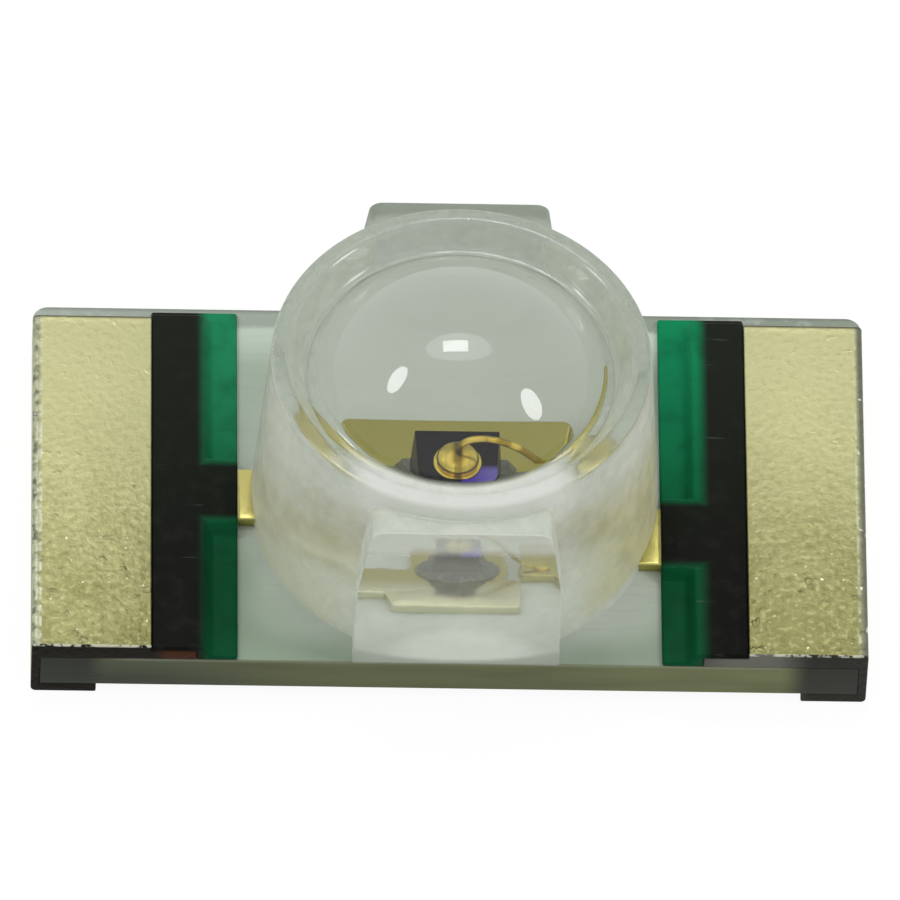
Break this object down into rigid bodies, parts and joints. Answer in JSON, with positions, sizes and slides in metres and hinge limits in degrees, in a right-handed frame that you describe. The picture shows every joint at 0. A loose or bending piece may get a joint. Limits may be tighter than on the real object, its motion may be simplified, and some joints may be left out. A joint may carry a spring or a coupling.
{
  "type": "light-emitting diode",
  "caption": "Surface-mount light-emitting diode: a chip and bond wire on a plated board under a clear moulded dome lens with a raised rim.",
  "frame": {"origin": "middle of the board outline, on the plane of the two solder faces", "axes": "+X from the cathode end to the anode end, +Y from the front cut to the back cut, +Z from the solder faces up through the lens"},
  "size_m": [0.0032, 0.0018, 0.0013],
  "materials": {
    "laminate": "matte, pale green-white",
    "gold_plate": "satin gold plating over copper, lightly scratched",
    "solder_mask": "satin green",
    "semiconductor": "polished, dark",
    "contact_gold": "bright gold",
    "silver_paste": "grey silver-filled paste",
    "clear_resin": "clear, polished, faint green-grey tint"
  },
  "bodies": {
    "root": {"board": "laminate", "cathode_terminal": "gold_plate", "anode_terminal": "gold_plate", "cathode_mask": "solder_mask", "anode_mask": "solder_mask", "underside_mark": "solder_mask", "chip": "semiconductor", "chip_electrode": "contact_gold", "die_paste": "silver_paste", "bond_wire": "contact_gold", "lens": "clear_resin"}
  },
  "joints": []
}
